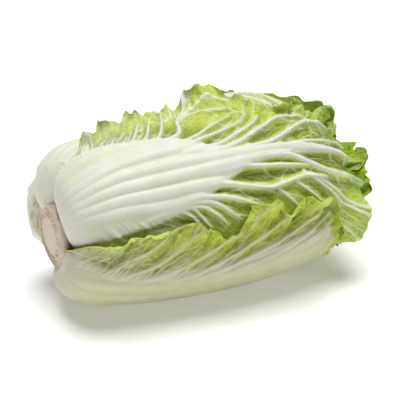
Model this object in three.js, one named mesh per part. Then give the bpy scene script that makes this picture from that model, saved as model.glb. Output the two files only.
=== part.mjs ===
// A napa cabbage (Chinese cabbage) lying on its side, in millimetres, +Z up.
//
// The head is a short cut stem with leaves wrapped round it in the golden-angle spiral in which
// they grew, the first leaf outermost. Every leaf follows the same barrel-shaped head, each one a
// step deeper than the last, so that the leaves nest without touching. A leaf is a thick white
// midrib at the base that thins into a wide blade and folds over the blunt top of the head.
//
// Stem and midribs run along +X, from the cut stem at the low end to the leaf tips.
// The origin is on the surface that the head lies on, under the middle of its bounding box.

import * as THREE from "three";

// Driving dimensions of the head.
const HEAD_RADIUS = 82; // at the widest section, to the back of the outermost leaf
const REST_HEIGHT = 77.5; // from the head's axis down to the flat on which it lies
const LEAF_COUNT = 32;
const LEAF_PITCH = 2.4; // how much deeper each leaf lies than the one before it
const FIRST_LEAF_ANGLE = -45; // degrees: 0 faces -Y, 90 faces up
const SPIRAL_STEP = -137.5; // degrees from each leaf to the next one in

// The outermost leaf's profile, as [distance along the axis, distance from the axis],
// from the stem, round the shoulder, along the barrel and over the blunt top.
const PROFILE = new THREE.SplineCurve(
  [
    [8, 22],
    [1, 32],
    [0, 46],
    [8, 60],
    [34, 72.5],
    [80, 80],
    [140, 82],
    [195, 79],
    [240, 70],
    [269, 53],
    [282, 33],
    [286, 16],
  ].map(([x, r]) => new THREE.Vector2(x, r)),
);
const GATHER_X = 190; // the inner leaves shorten towards this place on the axis
const GATHER = 0.5; // share of its length that a leaf at the very centre would lose

// The head is fuller on its back and upper side, near the tips of the leaves.
const FULL_SIDE = { angle: 125, reach: 65, share: 0.21, starts: 110, whole: 205, fades: 225, ends: 290 };

// The stem sits low and to the front of the head's axis, and its face is turned to the front.
const STEM_FRONT = 4;
const STEM_LOW = 8;
const SHOULDER_LOW = 3; // how far the wide part of the base is lowered
const SHOULDER_RADIUS = 62;
const STEM_TURN = 0.12; // how far the base moves along the axis for each step back from it
const LEAN_ENDS = 60; // the head is straight from here on

// Leaf sizes.
const CLASP_HALF_ANGLE = 42; // degrees, where the leaf's foot clasps the stem
const RIB_HALF_ANGLE = 34; // just above the foot
const RIB_TIP_HALF_ANGLE = 6;
const RIB_THICKNESS = 6; // at the base, on top of the blade
const RIB_TIP_THICKNESS = 1;
const BLADE_THICKNESS = 1.6;
const TIP_SHARE = 0.25; // width of a leaf's end as a share of its full width
const TIP_START = 0.8; // where along the profile a leaf begins to round off

// How far the five wrapper leaves reach to each side of their midribs, in degrees: along the barrel,
// and near their tips. The first of them is shorter than the rest.
const WRAPPER_LEAVES = [
  { below: 66, above: 60, tipBelow: 62, tipAbove: 60, length: 0.86 },
  { below: 56, above: 66, tipBelow: 86, tipAbove: 66, length: 1 },
  { below: 60, above: 77, tipBelow: 76, tipAbove: 68, length: 1 },
  { below: 66, above: 66, tipBelow: 66, tipAbove: 66, length: 1 },
  { below: 66, above: 66, tipBelow: 66, tipAbove: 66, length: 1 },
];
const INNER_LEAF = { below: 66, above: 66, tipBelow: 66, tipAbove: 66, length: 1 };
const HEAD_LEAVES_END = 18; // leaves from the wrappers up to this count are head leaves, the rest the heart

// The cut stem.
const STEM_GAP = 0.5; // between the stem's flank and the leaf ends
const BUTT_RADIUS = 19;
const BUTT_FACE = 2; // where along the axis the cut face is, in the hollow between the leaf bases
const BUTT_EDGE = 1.5; // the worn edge of the cut face
const STEM_TIP_RADIUS = 1;
const STEM_SIDES = 24;
const STEM_RINGS = 8; // steps along its flank, so that it follows the lean

const WRAPPER_GRID = { across: 12, along: 14 };
const INNER_GRID = { across: 7, along: 10 };

const COLOURS = { wrapper: "#cfdc95", head: "#d8e39a", heart: "#e9e8a4", stem: "#d9cdb4" };

const { clamp, degToRad, euclideanModulo, lerp, radToDeg, smoothstep } = THREE.MathUtils;

// The head lies on a flat that it has pressed into its own underside, along its widest stretch.
function pressedScale(angle, radius) {
  const down = -Math.sin(angle) * radius;
  return down > REST_HEIGHT ? REST_HEIGHT / down : 1;
}

function fullSideScale(angle, x) {
  const away = euclideanModulo(radToDeg(angle) - FULL_SIDE.angle + 180, 360) - 180;
  const round = Math.cos((clamp(away / FULL_SIDE.reach, -1, 1) * Math.PI) / 2) ** 2;
  const rising = smoothstep(x, FULL_SIDE.starts, FULL_SIDE.whole);
  const falling = smoothstep(x, FULL_SIDE.fades, FULL_SIDE.ends);
  return 1 + FULL_SIDE.share * round * rising * (1 - falling);
}

// Moves a point of the straight head to where the leaning base puts it.
function leaned(point) {
  const lean = 1 - smoothstep(point.x, 0, LEAN_ENDS);
  const low = lerp(STEM_LOW, SHOULDER_LOW, smoothstep(Math.hypot(point.y, point.z), 20, SHOULDER_RADIUS));
  return point.set(
    point.x - STEM_TURN * point.y * lean,
    point.y - STEM_FRONT * lean,
    point.z - low * lean,
  );
}

// A point of the head: along is 0 at the stem and 1 at the tip, angle is in radians round
// the axis, and depth is how far it lies under the outermost leaf's back.
function headPoint(along, angle, depth) {
  const profile = PROFILE.getPoint(along);
  const inwards = depth / HEAD_RADIUS;
  const x = GATHER_X + (profile.x - GATHER_X) * (1 - GATHER * inwards);
  const section = pressedScale(angle, profile.y) * fullSideScale(angle, profile.x);
  const r = profile.y * (1 - inwards) * section;
  return leaned(new THREE.Vector3(x, -r * Math.cos(angle), r * Math.sin(angle)));
}

// Half the leaf's width as an angle, given the angles that its blade reaches on that side.
function halfAngle(along, bladeAngle, tipAngle) {
  const foot = lerp(CLASP_HALF_ANGLE, RIB_HALF_ANGLE, smoothstep(along, 0, 0.12));
  const blade = lerp(bladeAngle, tipAngle, smoothstep(along, 0.6, 0.8));
  const widened = lerp(foot, blade, smoothstep(along, 0.12, 0.45));
  const tip = clamp((along - TIP_START) / (1 - TIP_START), 0, 1);
  return widened * lerp(TIP_SHARE, 1, Math.sqrt(1 - tip * tip));
}

function leafThickness(along, offset) {
  const ribHalf = lerp(RIB_HALF_ANGLE, RIB_TIP_HALF_ANGLE, Math.sqrt(along));
  const rib = lerp(RIB_THICKNESS, RIB_TIP_THICKNESS, along);
  const across = Math.min(Math.abs(offset) / ribHalf, 1);
  return BLADE_THICKNESS + rib * Math.cos((across * Math.PI) / 2) ** 2;
}

// Moves every point of a geometry to where shape puts it.
function bent(geometry, shape) {
  const position = geometry.getAttribute("position");
  for (let i = 0; i < position.count; i++) {
    const point = shape(new THREE.Vector3().fromBufferAttribute(position, i));
    position.setXYZ(i, point.x, point.y, point.z);
  }
  return geometry;
}

// A leaf is a finely divided slab, bent so that its width wraps round the head,
// its length runs along the profile and its thickness goes inwards.
function leafGeometry(index, own, grid) {
  const slab = new THREE.BoxGeometry(1, 1, 1, grid.across, grid.along, 1);
  const depth = index * LEAF_PITCH;
  const middle = FIRST_LEAF_ANGLE + index * SPIRAL_STEP;
  return bent(slab, (corner) => {
    const across = -2 * corner.x;
    const up = corner.y + 0.5;
    const half = across > 0 ? halfAngle(up, own.above, own.tipAbove) : halfAngle(up, own.below, own.tipBelow);
    const along = up * own.length;
    const offset = across * half;
    const inner = corner.z < 0 ? leafThickness(along, offset) : 0;
    return headPoint(along, degToRad(middle + offset), depth + inner);
  });
}

function leafKind(index) {
  if (index < WRAPPER_LEAVES.length) return { kind: "wrapper", number: index + 1 };
  if (index < HEAD_LEAVES_END) return { kind: "head", number: index - WRAPPER_LEAVES.length + 1 };
  return { kind: "heart", number: index - HEAD_LEAVES_END + 1 };
}

function finished(geometry, name, colour, roughness) {
  const material = new THREE.MeshStandardMaterial({ color: colour, roughness, metalness: 0 });
  const mesh = new THREE.Mesh(geometry, material);
  mesh.name = name;
  return mesh;
}

function leaf(index) {
  const { kind, number } = leafKind(index);
  const own = WRAPPER_LEAVES[index] ?? INNER_LEAF;
  const grid = kind === "wrapper" ? WRAPPER_GRID : INNER_GRID;
  const name = `${kind}_leaf_${String(number).padStart(2, "0")}`;
  return finished(leafGeometry(index, own, grid), name, COLOURS[kind], 0.5);
}

// The stem is a cone inside the head, just clear of the ends of the leaves on it,
// and a short butt that was cut off square in the hollow between their feet.
function stem() {
  const start = PROFILE.getPoint(0);
  const slope = start.y / ((GATHER_X - start.x) * GATHER);
  const root = start.y - STEM_GAP;
  const tipX = start.x + (root - STEM_TIP_RADIUS) / slope;
  const flank = Array.from({ length: STEM_RINGS + 1 }, (_, ring) => {
    const along = ring / STEM_RINGS;
    return [lerp(root, STEM_TIP_RADIUS, along), lerp(start.x, tipX, along)];
  });
  const outline = [
    [0, BUTT_FACE],
    [BUTT_RADIUS - BUTT_EDGE, BUTT_FACE],
    [BUTT_RADIUS, BUTT_FACE + BUTT_EDGE],
    ...flank,
    [0, tipX],
  ].map(([r, x]) => new THREE.Vector2(r, x));
  const turned = new THREE.LatheGeometry(outline, STEM_SIDES);
  turned.rotateZ(-Math.PI / 2);
  return finished(bent(turned, leaned), "core_stem", COLOURS.stem, 0.7);
}

// Moves the whole head so that it rests on z = 0 with its bounding box centred on the origin.
function restOnSurface(group) {
  const box = new THREE.Box3().setFromObject(group, true);
  const centre = box.getCenter(new THREE.Vector3());
  group.position.set(-centre.x, -centre.y, -box.min.z);
  return group;
}

const cabbage = new THREE.Group();
cabbage.add(stem());
for (let index = 0; index < LEAF_COUNT; index++) cabbage.add(leaf(index));

export default restOnSurface(cabbage);
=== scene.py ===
"""A napa cabbage lying on its side: leaves and cut stem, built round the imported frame.

Every leaf is a closed sheet laid over the same barrel-shaped head. Its surface is drawn in the
leaf's own plane, with the distance up from its foot and the distance sideways from its middle,
both in millimetres: first the thick rib, then the cords that fan out of it, then the fine veins,
the hollows between them and the frilled margin. The head's own numbers are those of the frame.
"""

import math

import bpy
import numpy as np
from bpy.props import FloatProperty, FloatVectorProperty, PointerProperty
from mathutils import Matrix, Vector


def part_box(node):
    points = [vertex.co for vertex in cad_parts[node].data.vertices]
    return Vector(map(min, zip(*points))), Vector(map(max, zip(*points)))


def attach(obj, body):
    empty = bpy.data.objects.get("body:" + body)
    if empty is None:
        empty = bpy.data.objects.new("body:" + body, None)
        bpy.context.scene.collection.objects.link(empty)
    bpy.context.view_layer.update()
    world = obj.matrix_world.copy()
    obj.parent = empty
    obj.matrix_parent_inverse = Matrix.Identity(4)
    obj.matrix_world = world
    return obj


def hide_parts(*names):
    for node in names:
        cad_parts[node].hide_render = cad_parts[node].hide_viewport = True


bl_info = {
    "name": "Napa Cabbage",
    "version": (1, 0, 0),
    "blender": (4, 5, 0),
    "location": "3D View > Sidebar > Napa Cabbage",
    "description": "Builds the leaves and the cut stem of a napa cabbage round its frame",
    "category": "Add Mesh",
}

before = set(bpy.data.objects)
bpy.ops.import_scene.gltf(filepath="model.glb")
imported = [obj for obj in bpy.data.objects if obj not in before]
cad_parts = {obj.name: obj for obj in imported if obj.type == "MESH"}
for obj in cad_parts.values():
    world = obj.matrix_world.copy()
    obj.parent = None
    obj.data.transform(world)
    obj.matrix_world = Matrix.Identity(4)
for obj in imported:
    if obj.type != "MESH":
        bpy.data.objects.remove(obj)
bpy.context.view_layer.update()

MM = 0.001

# The head, in millimetres, as the frame has it.
HEAD_RADIUS = 82.0
REST_HEIGHT = 77.5
LEAF_PITCH = 2.4
FIRST_LEAF_ANGLE = -45.0
SPIRAL_STEP = -137.5
PROFILE = np.array([
    (8, 22), (1, 32), (0, 46), (8, 60), (34, 72.5), (80, 80),
    (140, 82), (195, 79), (240, 70), (269, 53), (282, 33), (286, 16),
], dtype=float)
GATHER_X = 190.0
GATHER = 0.5
FULL_ANGLE = 125.0
FULL_REACH = 65.0
FULL_SHARE = 0.21
FULL_STARTS, FULL_WHOLE, FULL_FADES, FULL_ENDS = 110.0, 205.0, 225.0, 290.0
STEM_FRONT = 4.0
STEM_LOW = 8.0
SHOULDER_LOW = 3.0
SHOULDER_RADIUS = 62.0
STEM_TURN = 0.12
LEAN_ENDS = 60.0

# How the fourth wrapper leaf is cut in the frame, to find where the frame puts the head.
FRAME_LEAF, FRAME_INDEX = "wrapper_leaf_04", 3
FRAME_CLASP, FRAME_RIB, FRAME_SPAN = 42.0, 34.0, 66.0
FRAME_TIP_START, FRAME_TIP_SHARE = 0.8, 0.25
FRAME_ACROSS, FRAME_ALONG = 12, 14

WRAPPERS, HEAD_LEAVES_END, LEAF_COUNT = 5, 18, 32


def smooth(value, low, high):
    """Goes from 0 at low to 1 at high, with soft ends."""
    share = np.clip((value - low) / (high - low), 0.0, 1.0)
    return share * share * (3.0 - 2.0 * share)


def blend(first, second, share):
    """The value that lies a share of the way from the first to the second."""
    return first + (second - first) * share


# ---------------------------------------------------------------- the shape of the head


def spline(p0, p1, p2, p3, part):
    """The point of a smooth curve that is a part of the way from its second point to its third."""
    v0, v1 = (p2 - p0) * 0.5, (p3 - p1) * 0.5
    cubic = (2 * p1 - 2 * p2 + v0 + v1) * part**3
    square = (-3 * p1 + 3 * p2 - 2 * v0 - v1) * part**2
    return cubic + square + v0 * part + p1


def profile_at(along):
    """The head's outline, as distance along its axis and distance from it."""
    last = len(PROFILE) - 1
    place = np.clip(np.asarray(along, dtype=float), 0.0, 1.0) * last
    start = np.minimum(place.astype(int), last)
    before = PROFILE[np.where(start > 0, start - 1, start)]
    after, beyond = PROFILE[np.minimum(start + 1, last)], PROFILE[np.minimum(start + 2, last)]
    return spline(before, PROFILE[start], after, beyond, (place - start)[..., None])


def leaned(points):
    """Moves points of the straight head to where its leaning base puts them."""
    x, y, z = points[..., 0], points[..., 1], points[..., 2]
    lean = 1.0 - smooth(x, 0.0, LEAN_ENDS)
    low = blend(STEM_LOW, SHOULDER_LOW, smooth(np.hypot(y, z), 20.0, SHOULDER_RADIUS))
    moved = (x - STEM_TURN * y * lean, y - STEM_FRONT * lean, z - low * lean)
    return np.stack(moved, axis=-1)


def head_points(along, angle, depth):
    """Points of the head; angle is in degrees round the axis, 0 in front and 90 on top."""
    outline = profile_at(along)
    inwards = depth / HEAD_RADIUS
    turned = np.radians(angle)
    down = -np.sin(turned) * outline[..., 1]
    pressed = REST_HEIGHT / np.maximum(down, REST_HEIGHT)
    away = (angle - FULL_ANGLE + 180.0) % 360.0 - 180.0
    bulge = np.cos(np.clip(away / FULL_REACH, -1, 1) * math.pi / 2) ** 2
    bulge = bulge * smooth(outline[..., 0], FULL_STARTS, FULL_WHOLE)
    bulge = bulge * (1.0 - smooth(outline[..., 0], FULL_FADES, FULL_ENDS))
    r = outline[..., 1] * (1.0 - inwards) * pressed * (1.0 + FULL_SHARE * bulge)
    x = GATHER_X + (outline[..., 0] - GATHER_X) * (1.0 - GATHER * inwards)
    return leaned(np.stack((x, -r * np.cos(turned), r * np.sin(turned)), axis=-1))


ALONG_TABLE = np.linspace(0.0, 1.0, 1501)
LENGTH_TABLE = np.concatenate((
    [0.0], np.cumsum(np.linalg.norm(np.diff(profile_at(ALONG_TABLE), axis=0), axis=1)),
))
FULL_LENGTH = float(LENGTH_TABLE[-1])


def along_at(up):
    """The share of the profile at a distance up from a leaf's foot."""
    return np.interp(up, LENGTH_TABLE, ALONG_TABLE)


def frame_place():
    """Where the frame puts the head's own zero point, from one wrapper leaf's box."""
    along = np.linspace(0.0, 1.0, FRAME_ALONG + 1)[:, None]
    across = np.linspace(-1.0, 1.0, FRAME_ACROSS + 1)[None, :]
    foot = blend(FRAME_CLASP, FRAME_RIB, smooth(along, 0.0, 0.12))
    half = blend(foot, FRAME_SPAN, smooth(along, 0.12, 0.45))
    tip = np.clip((along - FRAME_TIP_START) / (1 - FRAME_TIP_START), 0, 1)
    half = half * blend(FRAME_TIP_SHARE, 1.0, np.sqrt(1.0 - tip * tip))
    angle = FIRST_LEAF_ANGLE + FRAME_INDEX * SPIRAL_STEP + across * half
    points = head_points(along + 0 * across, angle, FRAME_INDEX * LEAF_PITCH).reshape(-1, 3)
    low = np.array(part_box(FRAME_LEAF)[0]) / MM
    return low - points.min(axis=0)


HEAD_PLACE = frame_place()

# ---------------------------------------------------------------- patterns in a leaf's plane


LATTICE = 64


def lattice(seed):
    """A square of random values that the patterns repeat."""
    return np.random.default_rng(seed).random((LATTICE, LATTICE))


def noise(x, y, step, seed):
    """Smooth noise between -1 and 1 whose bumps are about a step apart."""
    table = lattice(seed)
    gx, gy = x / step + 1000.0, y / step + 1000.0
    ix, iy = np.floor(gx).astype(int), np.floor(gy).astype(int)
    fx, fy = gx - ix, gy - iy
    fx, fy = fx * fx * (3 - 2 * fx), fy * fy * (3 - 2 * fy)
    left, right = ix % LATTICE, (ix + 1) % LATTICE
    low, high = iy % LATTICE, (iy + 1) % LATTICE
    near = blend(table[left, low], table[right, low], fx)
    far = blend(table[left, high], table[right, high], fx)
    return blend(near, far, fy) * 2.0 - 1.0


def cell_walls(x, y, size, seed):
    """How far each point is from the wall between the two nearest cells of a net."""
    table_x, table_y = lattice(seed), lattice(seed + 1)
    gx, gy = x / size + 1000.0, y / size + 1000.0
    ix, iy = np.floor(gx).astype(int), np.floor(gy).astype(int)
    nearest = np.full(x.shape, 9.0)
    second = np.full(x.shape, 9.0)
    for step_x in (-1, 0, 1):
        for step_y in (-1, 0, 1):
            cx, cy = ix + step_x, iy + step_y
            dx = cx + table_x[cx % LATTICE, cy % LATTICE] - gx
            dy = cy + table_y[cx % LATTICE, cy % LATTICE] - gy
            reach = np.hypot(dx, dy)
            second = np.minimum(second, np.maximum(reach, nearest))
            nearest = np.minimum(nearest, reach)
    return (second - nearest) * size


def blurred(grid, times):
    """Evens out a grid of values with its neighbours."""
    for _ in range(times):
        padded = np.pad(grid, 1, mode="edge")
        grid = (padded[:-2, 1:-1] + 2 * padded[1:-1, 1:-1] + padded[2:, 1:-1]) / 4
        padded = np.pad(grid, 1, mode="edge")
        grid = (padded[1:-1, :-2] + 2 * padded[1:-1, 1:-1] + padded[1:-1, 2:]) / 4
    return grid


def gentle_curve(points, up, softness=9):
    """Reads a value off a line of listed (distance up, value) points, with soft corners."""
    points = np.array(points, dtype=float)
    table = np.arange(-40.0, FULL_LENGTH + 40.0)
    values = np.interp(table, points[:, 0], points[:, 1])
    window = np.hanning(2 * softness + 3)
    values = np.convolve(np.pad(values, softness + 1, mode="edge"), window / window.sum(), "valid")
    return np.interp(up, table, values)


def rounded_path(points, steps=5):
    """Bends a line of given points into a smooth path."""
    points = np.array(points, dtype=float)
    padded = np.vstack((2 * points[0] - points[1], points, 2 * points[-1] - points[-2]))
    bent = []
    for four in zip(padded, padded[1:], padded[2:], padded[3:]):
        bent.extend(spline(*four, part) for part in np.arange(steps) / steps)
    bent.append(points[-1])
    return np.array(bent)


# ---------------------------------------------------------------- how each leaf grows


REACH = [(0, 42), (40, 40), (120, 58), (180, 66), (353, 66)]

# What a leaf is like unless its own plan says otherwise. Lengths are in millimetres, and places
# across the leaf are in degrees from its middle.
ORDINARY_LEAF = dict(
    length=FULL_LENGTH,
    tip_length=45.0,  # the stretch over which the end is rounded off
    above=REACH,  # how far the blade reaches to its upper and lower side, as (distance up, degrees)
    below=REACH,
    # The rib's centre and half its width, as (distance up, degrees, degrees).
    rib=[(0, 0, 36), (70, 0, 28), (120, 0, 23), (190, 0, 12), (250, 0, 5), (353, 0, 2)],
    swell=1.5,  # how far the rib's back stands out, and from where to where that fades
    swell_fades=(60.0, 330.0),
    cords=[],  # each as its (distance up, degrees) points, half its width and its height
    combs=[(-1, 45, 285, 9.0, 62, 26, 44.0), (1, 45, 285, 9.0, 62, 26, 44.0)],
    lobes=[],  # each as distance up, degrees, how far it stands out and its size
    sink=0.45,  # share of the full depth to which the blade sinks between the cords
    frill=1.0,  # share of the full frill along the margin, and at the tip
    tip_frill=1.0,
    tip_flare=0.0,  # how far the tip bends outwards
    curl=0.35,  # how much of the margin rolls outwards
    tuck=2.0,  # how far the margin is tucked in near the foot
    closing=0.0,  # share by which the tip leans in towards the head's axis
    worn=14.0,  # how far up the brown of the foot reaches
    detail=1.0,  # how close together the thin side veins are, or 0 for no thin veins
    lit_below=0.0,  # how much of the painted shade of the hollows the lower side loses
    is_low=False,  # whether the leaf is one of the lowest, whose rib takes a darker colour as painted shade
)


class LeafPlan:
    """What sets one leaf apart: its place, its outline, its rib and its cords."""

    def __init__(self, index, name, grid, **own):
        for trait, value in {**ORDINARY_LEAF, **own}.items():
            setattr(self, trait, value)
        self.name = name
        self.grid = grid
        self.middle = FIRST_LEAF_ANGLE + index * SPIRAL_STEP
        self.seed = 100 * index + 7
        self.outer = []

    def noise(self, x, y, *layers):
        """The leaf's own noises laid over each other, each as (step, share, number)."""
        return sum(share * noise(x, y, step, self.seed + number) for step, share, number in layers)

    def radius(self, up):
        return profile_at(along_at(up))[..., 1] * (1.0 - self.depth / HEAD_RADIUS)

    def rib_centre(self, up):
        return gentle_curve([(at, centre) for at, centre, _ in self.rib], up, 20)

    def rib_half(self, up):
        return gentle_curve([(at, half) for at, _, half in self.rib], up, 20)

    def sideways(self, up, offset):
        """Turns an angle away from the leaf's middle into millimetres."""
        return np.radians(offset) * self.radius(up)

    def margins(self, up):
        """How far the blade reaches below and above the leaf's middle, in degrees."""
        tip = np.clip((up - self.length + self.tip_length) / self.tip_length, 0.0, 1.0)
        rounding = blend(FRAME_TIP_SHARE, 1.0, np.sqrt(1.0 - tip * tip))
        return gentle_curve(self.below, up) * rounding, gentle_curve(self.above, up) * rounding

    def covers(self, up, angle):
        """How well the leaf lies over points of the head: 1 well inside its margin, 0 outside."""
        below, above = self.margins(up)
        away = (angle - self.middle + 180.0) % 360.0 - 180.0
        inside = np.minimum(np.minimum(above - away, away + below), (self.length - up) * 0.7)
        return smooth(inside, -1.0, 7.0)


# The relief of a leaf, in millimetres.
WIDEST_GAP = 12.0  # distances from the cords are counted up to here
PARTING = 2.4  # how soon the blade sinks beside a cord
FOLD_SPACING, FOLD_HEIGHT = 3.4, 0.45
NET_SIZE, NET_WIDTH, NET_HEIGHT = 4.2, 0.7, 0.25
NET_STRETCH = 1.5  # how much longer than wide the cells of the net are
PLEAT_REACH, PLEAT_HEIGHT = 19.0, 2.7
FRILL_REACH, TUCK_REACH = 10.0, 9.0
RUFFLE_HEIGHT = 3.2
LIP_WIDTH = 8.0
CORD_ROUNDNESS, RIB_CORD_ROUNDNESS = 0.75, 1.3


class LeafSheet:
    """A leaf's plane, sampled on a grid, on which veins are laid one by one."""

    def __init__(self, plan):
        self.plan = plan
        rows, columns = plan.grid
        across = np.linspace(-1.0, 1.0, columns + 1)[None, :] + np.zeros((rows + 1, 1))
        ragged = plan.noise(across * 60.0, 0.0 * across, (11.0, 1.0, 18), (4.5, 0.7, 19))
        length = plan.length - 2.4 * plan.frill * (ragged + 0.6)
        self.up = np.linspace(0.0, 1.0, rows + 1)[:, None] * length
        wobble = plan.noise(self.up, across * 2, (13.0, 1.0, 1), (5.5, 0.8, 9))
        wobble = 1.0 + 0.05 * plan.frill * wobble * smooth(self.up, 50.0, 90.0)
        lower, upper = plan.margins(self.up)
        span = np.where(across > 0, upper, lower) * wobble
        self.offset = across * span
        self.radius = plan.radius(self.up)
        self.side = np.radians(self.offset) * self.radius
        self.to_side = np.maximum((1.0 - np.abs(across)) * np.radians(span) * self.radius, 0.05)
        self.to_tip = np.maximum(length - self.up, 0.05)
        self.to_margin = (self.to_side**-2 + self.to_tip**-2) ** -0.5
        self.outwards = np.sign(across)
        self.tip_share = self.to_tip**-2 / (self.to_side**-2 + self.to_tip**-2)
        from_centre = self.offset - plan.rib_centre(self.up)
        half = plan.rib_half(self.up)
        self.rib_place = from_centre / half
        self.rib_round = np.sqrt(np.maximum(1.0 - np.minimum(np.abs(self.rib_place), 1.0) ** 2, 0.0))
        self.rib_gap = np.radians(np.maximum(np.abs(from_centre) - half, 0.0)) * self.radius
        self.in_rib = smooth(np.abs(self.rib_place), 1.0, 0.72)
        self.in_blade = smooth(self.rib_gap, 0.0, 3.0)
        self.near_fork = smooth(self.rib_gap, 44.0, 8.0)
        self.grown = smooth(self.up, 40.0, 85.0)
        self.gap = np.minimum(self.rib_gap, WIDEST_GAP)
        self.ridge = np.zeros_like(self.up)
        self.pale = smooth(self.rib_gap, 3.0, 0.0)
        self.cover = np.zeros_like(self.up)
        for outer in plan.outer:
            self.cover = np.maximum(self.cover, outer.covers(self.up, plan.middle + self.offset))
        self.bare = 1.0 - self.cover

    def lay_cord(self, path, width, height, parts_blade=True, whiteness=1.0, rib_width=0.0):
        """Raises a round cord along a path of (up, side) points; width and height taper."""
        reach = max(width[0], width[1], rib_width) + 9.0
        low, high = path.min(axis=0) - reach, path.max(axis=0) + reach
        near = (self.up > low[0]) & (self.up < high[0])
        near &= (self.side > low[1]) & (self.side < high[1])
        if not near.any():
            return
        x, y = self.up[near], self.side[near]
        steps = np.linalg.norm(np.diff(path, axis=0), axis=1)
        run = np.concatenate(([0.0], np.cumsum(steps))) / max(steps.sum(), 1e-6)
        best = np.full(x.shape, 99.0)
        place = np.zeros(x.shape)
        for number in range(len(path) - 1):
            start, step = path[number], path[number + 1] - path[number]
            square = max(float(step @ step), 1e-9)
            part = np.clip(((x - start[0]) * step[0] + (y - start[1]) * step[1]) / square, 0, 1)
            apart = np.hypot(x - start[0] - part * step[0], y - start[1] - part * step[1])
            closer = apart < best
            best = np.where(closer, apart, best)
            place = np.where(closer, blend(run[number], run[number + 1], part), place)
        wide = blend(width[0], width[1], place)
        tall = blend(height[0], height[1], place)
        roundness = CORD_ROUNDNESS
        if rib_width:
            within = self.in_rib[near]
            wide = blend(wide, rib_width, within)
            tall = tall * smooth(x, -5.0, 75.0) * smooth(place, -0.03, 0.2) * blend(1.0, 0.8, within)
            roundness = blend(CORD_ROUNDNESS, RIB_CORD_ROUNDNESS, within)
        share = np.clip(best / wide, 0.0, 1.0)
        self.ridge[near] = np.maximum(self.ridge[near], tall * (1.0 - share**2) ** roundness)
        pale = whiteness * smooth(best, wide + 0.7, wide * 0.6) * smooth(place, 1.12, 0.8)
        self.pale[near] = np.maximum(self.pale[near], pale)
        if parts_blade:
            self.gap[near] = np.minimum(self.gap[near], np.maximum(best - wide, 0.0))


def fanned_cords(plan, draw):
    """Cords for a leaf without cords of its own: three up the middle and a fan to each side."""
    cords = []
    for place in (-0.5, 0.05, 0.55):
        ups = np.array([40.0, 120.0, 200.0, 270.0, plan.length - 12])
        offsets = plan.rib_centre(ups) + place * plan.rib_half(ups)
        offsets[-2:] += place * np.array([3.0, 14.0])
        cords.append((list(zip(ups, offsets)), 4.6, 1.4))
    for side in (-1, 1):
        for number, exit_up in enumerate(np.linspace(78.0, 285.0, 9) + draw.uniform(-6, 6, 9)):
            steepness = math.radians(blend(62.0, 20.0, number / 8) + draw.uniform(-4, 4))
            up = exit_up
            reach = plan.sideways(up, plan.rib_centre(up) + side * plan.rib_half(up) * 0.8)
            points = [(up - 45, float(reach) - side * 1.5), (up, float(reach))]
            for step in (16.0, 22.0, 26.0, 30.0):
                up = points[-1][0] + step * math.cos(steepness)
                points.append((up, points[-1][1] + side * step * math.sin(steepness)))
                steepness *= 0.84
            as_angles = [(u, math.degrees(w / float(plan.radius(u)))) for u, w in points]
            cords.append((as_angles, 2.9, 1.0))
    return cords


def side_veins(path, draw, spacing, length):
    """Thin veins that leave a cord to both sides at a narrow angle."""
    steps = np.diff(path, axis=0)
    run = np.concatenate(([0.0], np.cumsum(np.linalg.norm(steps, axis=1))))
    at = draw.uniform(2.0, spacing)
    hand = 1
    while at < run[-1]:
        place = np.array([np.interp(at, run, path[:, 0]), np.interp(at, run, path[:, 1])])
        number = min(int(np.searchsorted(run, at)), len(steps)) - 1
        heading = math.atan2(steps[number][1], steps[number][0])
        turn = hand * math.radians(draw.uniform(20, 38))
        reach = length * draw.uniform(0.55, 1.15)
        points = [place]
        for _ in range(4):
            stride = reach / 4 * np.array([math.cos(heading + turn), math.sin(heading + turn)])
            points.append(points[-1] + stride)
            turn *= draw.uniform(0.6, 0.95)
            heading += math.radians(draw.uniform(-7, 7))
        yield np.array(points)
        at += spacing * draw.uniform(0.6, 1.4)
        hand = -hand


def comb_veins(plan, comb, draw):
    """A row of thin veins that leave one side of the rib, steep at first and slanting later."""
    side, start, end, spacing, first_turn, last_turn, length = comb
    up = start + draw.uniform(0.0, spacing)
    while up < end:
        offset = plan.rib_centre(up) + side * plan.rib_half(up) * 0.94
        turn = math.radians(blend(first_turn, last_turn, (up - start) / (end - start)))
        turn *= draw.uniform(0.86, 1.14)
        reach = length * draw.uniform(0.7, 1.15)
        points = [np.array([up - 5.0, float(plan.sideways(up, offset)) - side * 1.5])]
        for _ in range(5):
            heading = np.array([math.cos(turn), side * math.sin(turn)])
            points.append(points[-1] + reach / 5 * heading)
            turn *= draw.uniform(0.84, 1.02)
        yield np.array(points)
        up += spacing * draw.uniform(0.65, 1.35)


RIB_CORD_WIDTH = 6.8
SIDE_VEIN_SPACING, SIDE_VEIN_LENGTH = 13.0, 30.0


def lay_veins(sheet, plan, draw):
    """Lays the cords and the thin veins of a leaf."""
    rib_width = RIB_CORD_WIDTH if plan.cords else 0.0
    paths = []
    for points, wide, tall in plan.cords or fanned_cords(plan, draw):
        path = rounded_path([(up, plan.sideways(up, offset)) for up, offset in points])
        paths.append(path)
        sheet.lay_cord(path, (wide, wide * 0.5), (tall, tall * 0.8), rib_width=rib_width)
    if plan.detail <= 0:
        return
    for comb in plan.combs:
        for vein in comb_veins(plan, comb, draw):
            wide = draw.uniform(0.8, 1.3)
            sheet.lay_cord(vein, (wide, 0.4), (1.1, 0.3), parts_blade=False, whiteness=0.85)
    for path in paths:
        for vein in side_veins(path, draw, SIDE_VEIN_SPACING / plan.detail, SIDE_VEIN_LENGTH):
            up, side = vein[1]
            rib = np.radians(plan.rib_half(up)) * plan.radius(up)
            if abs(side - plan.sideways(up, plan.rib_centre(up))) > rib:
                sheet.lay_cord(vein, (0.8, 0.35), (0.6, 0.25), parts_blade=False, whiteness=0.6)


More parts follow.
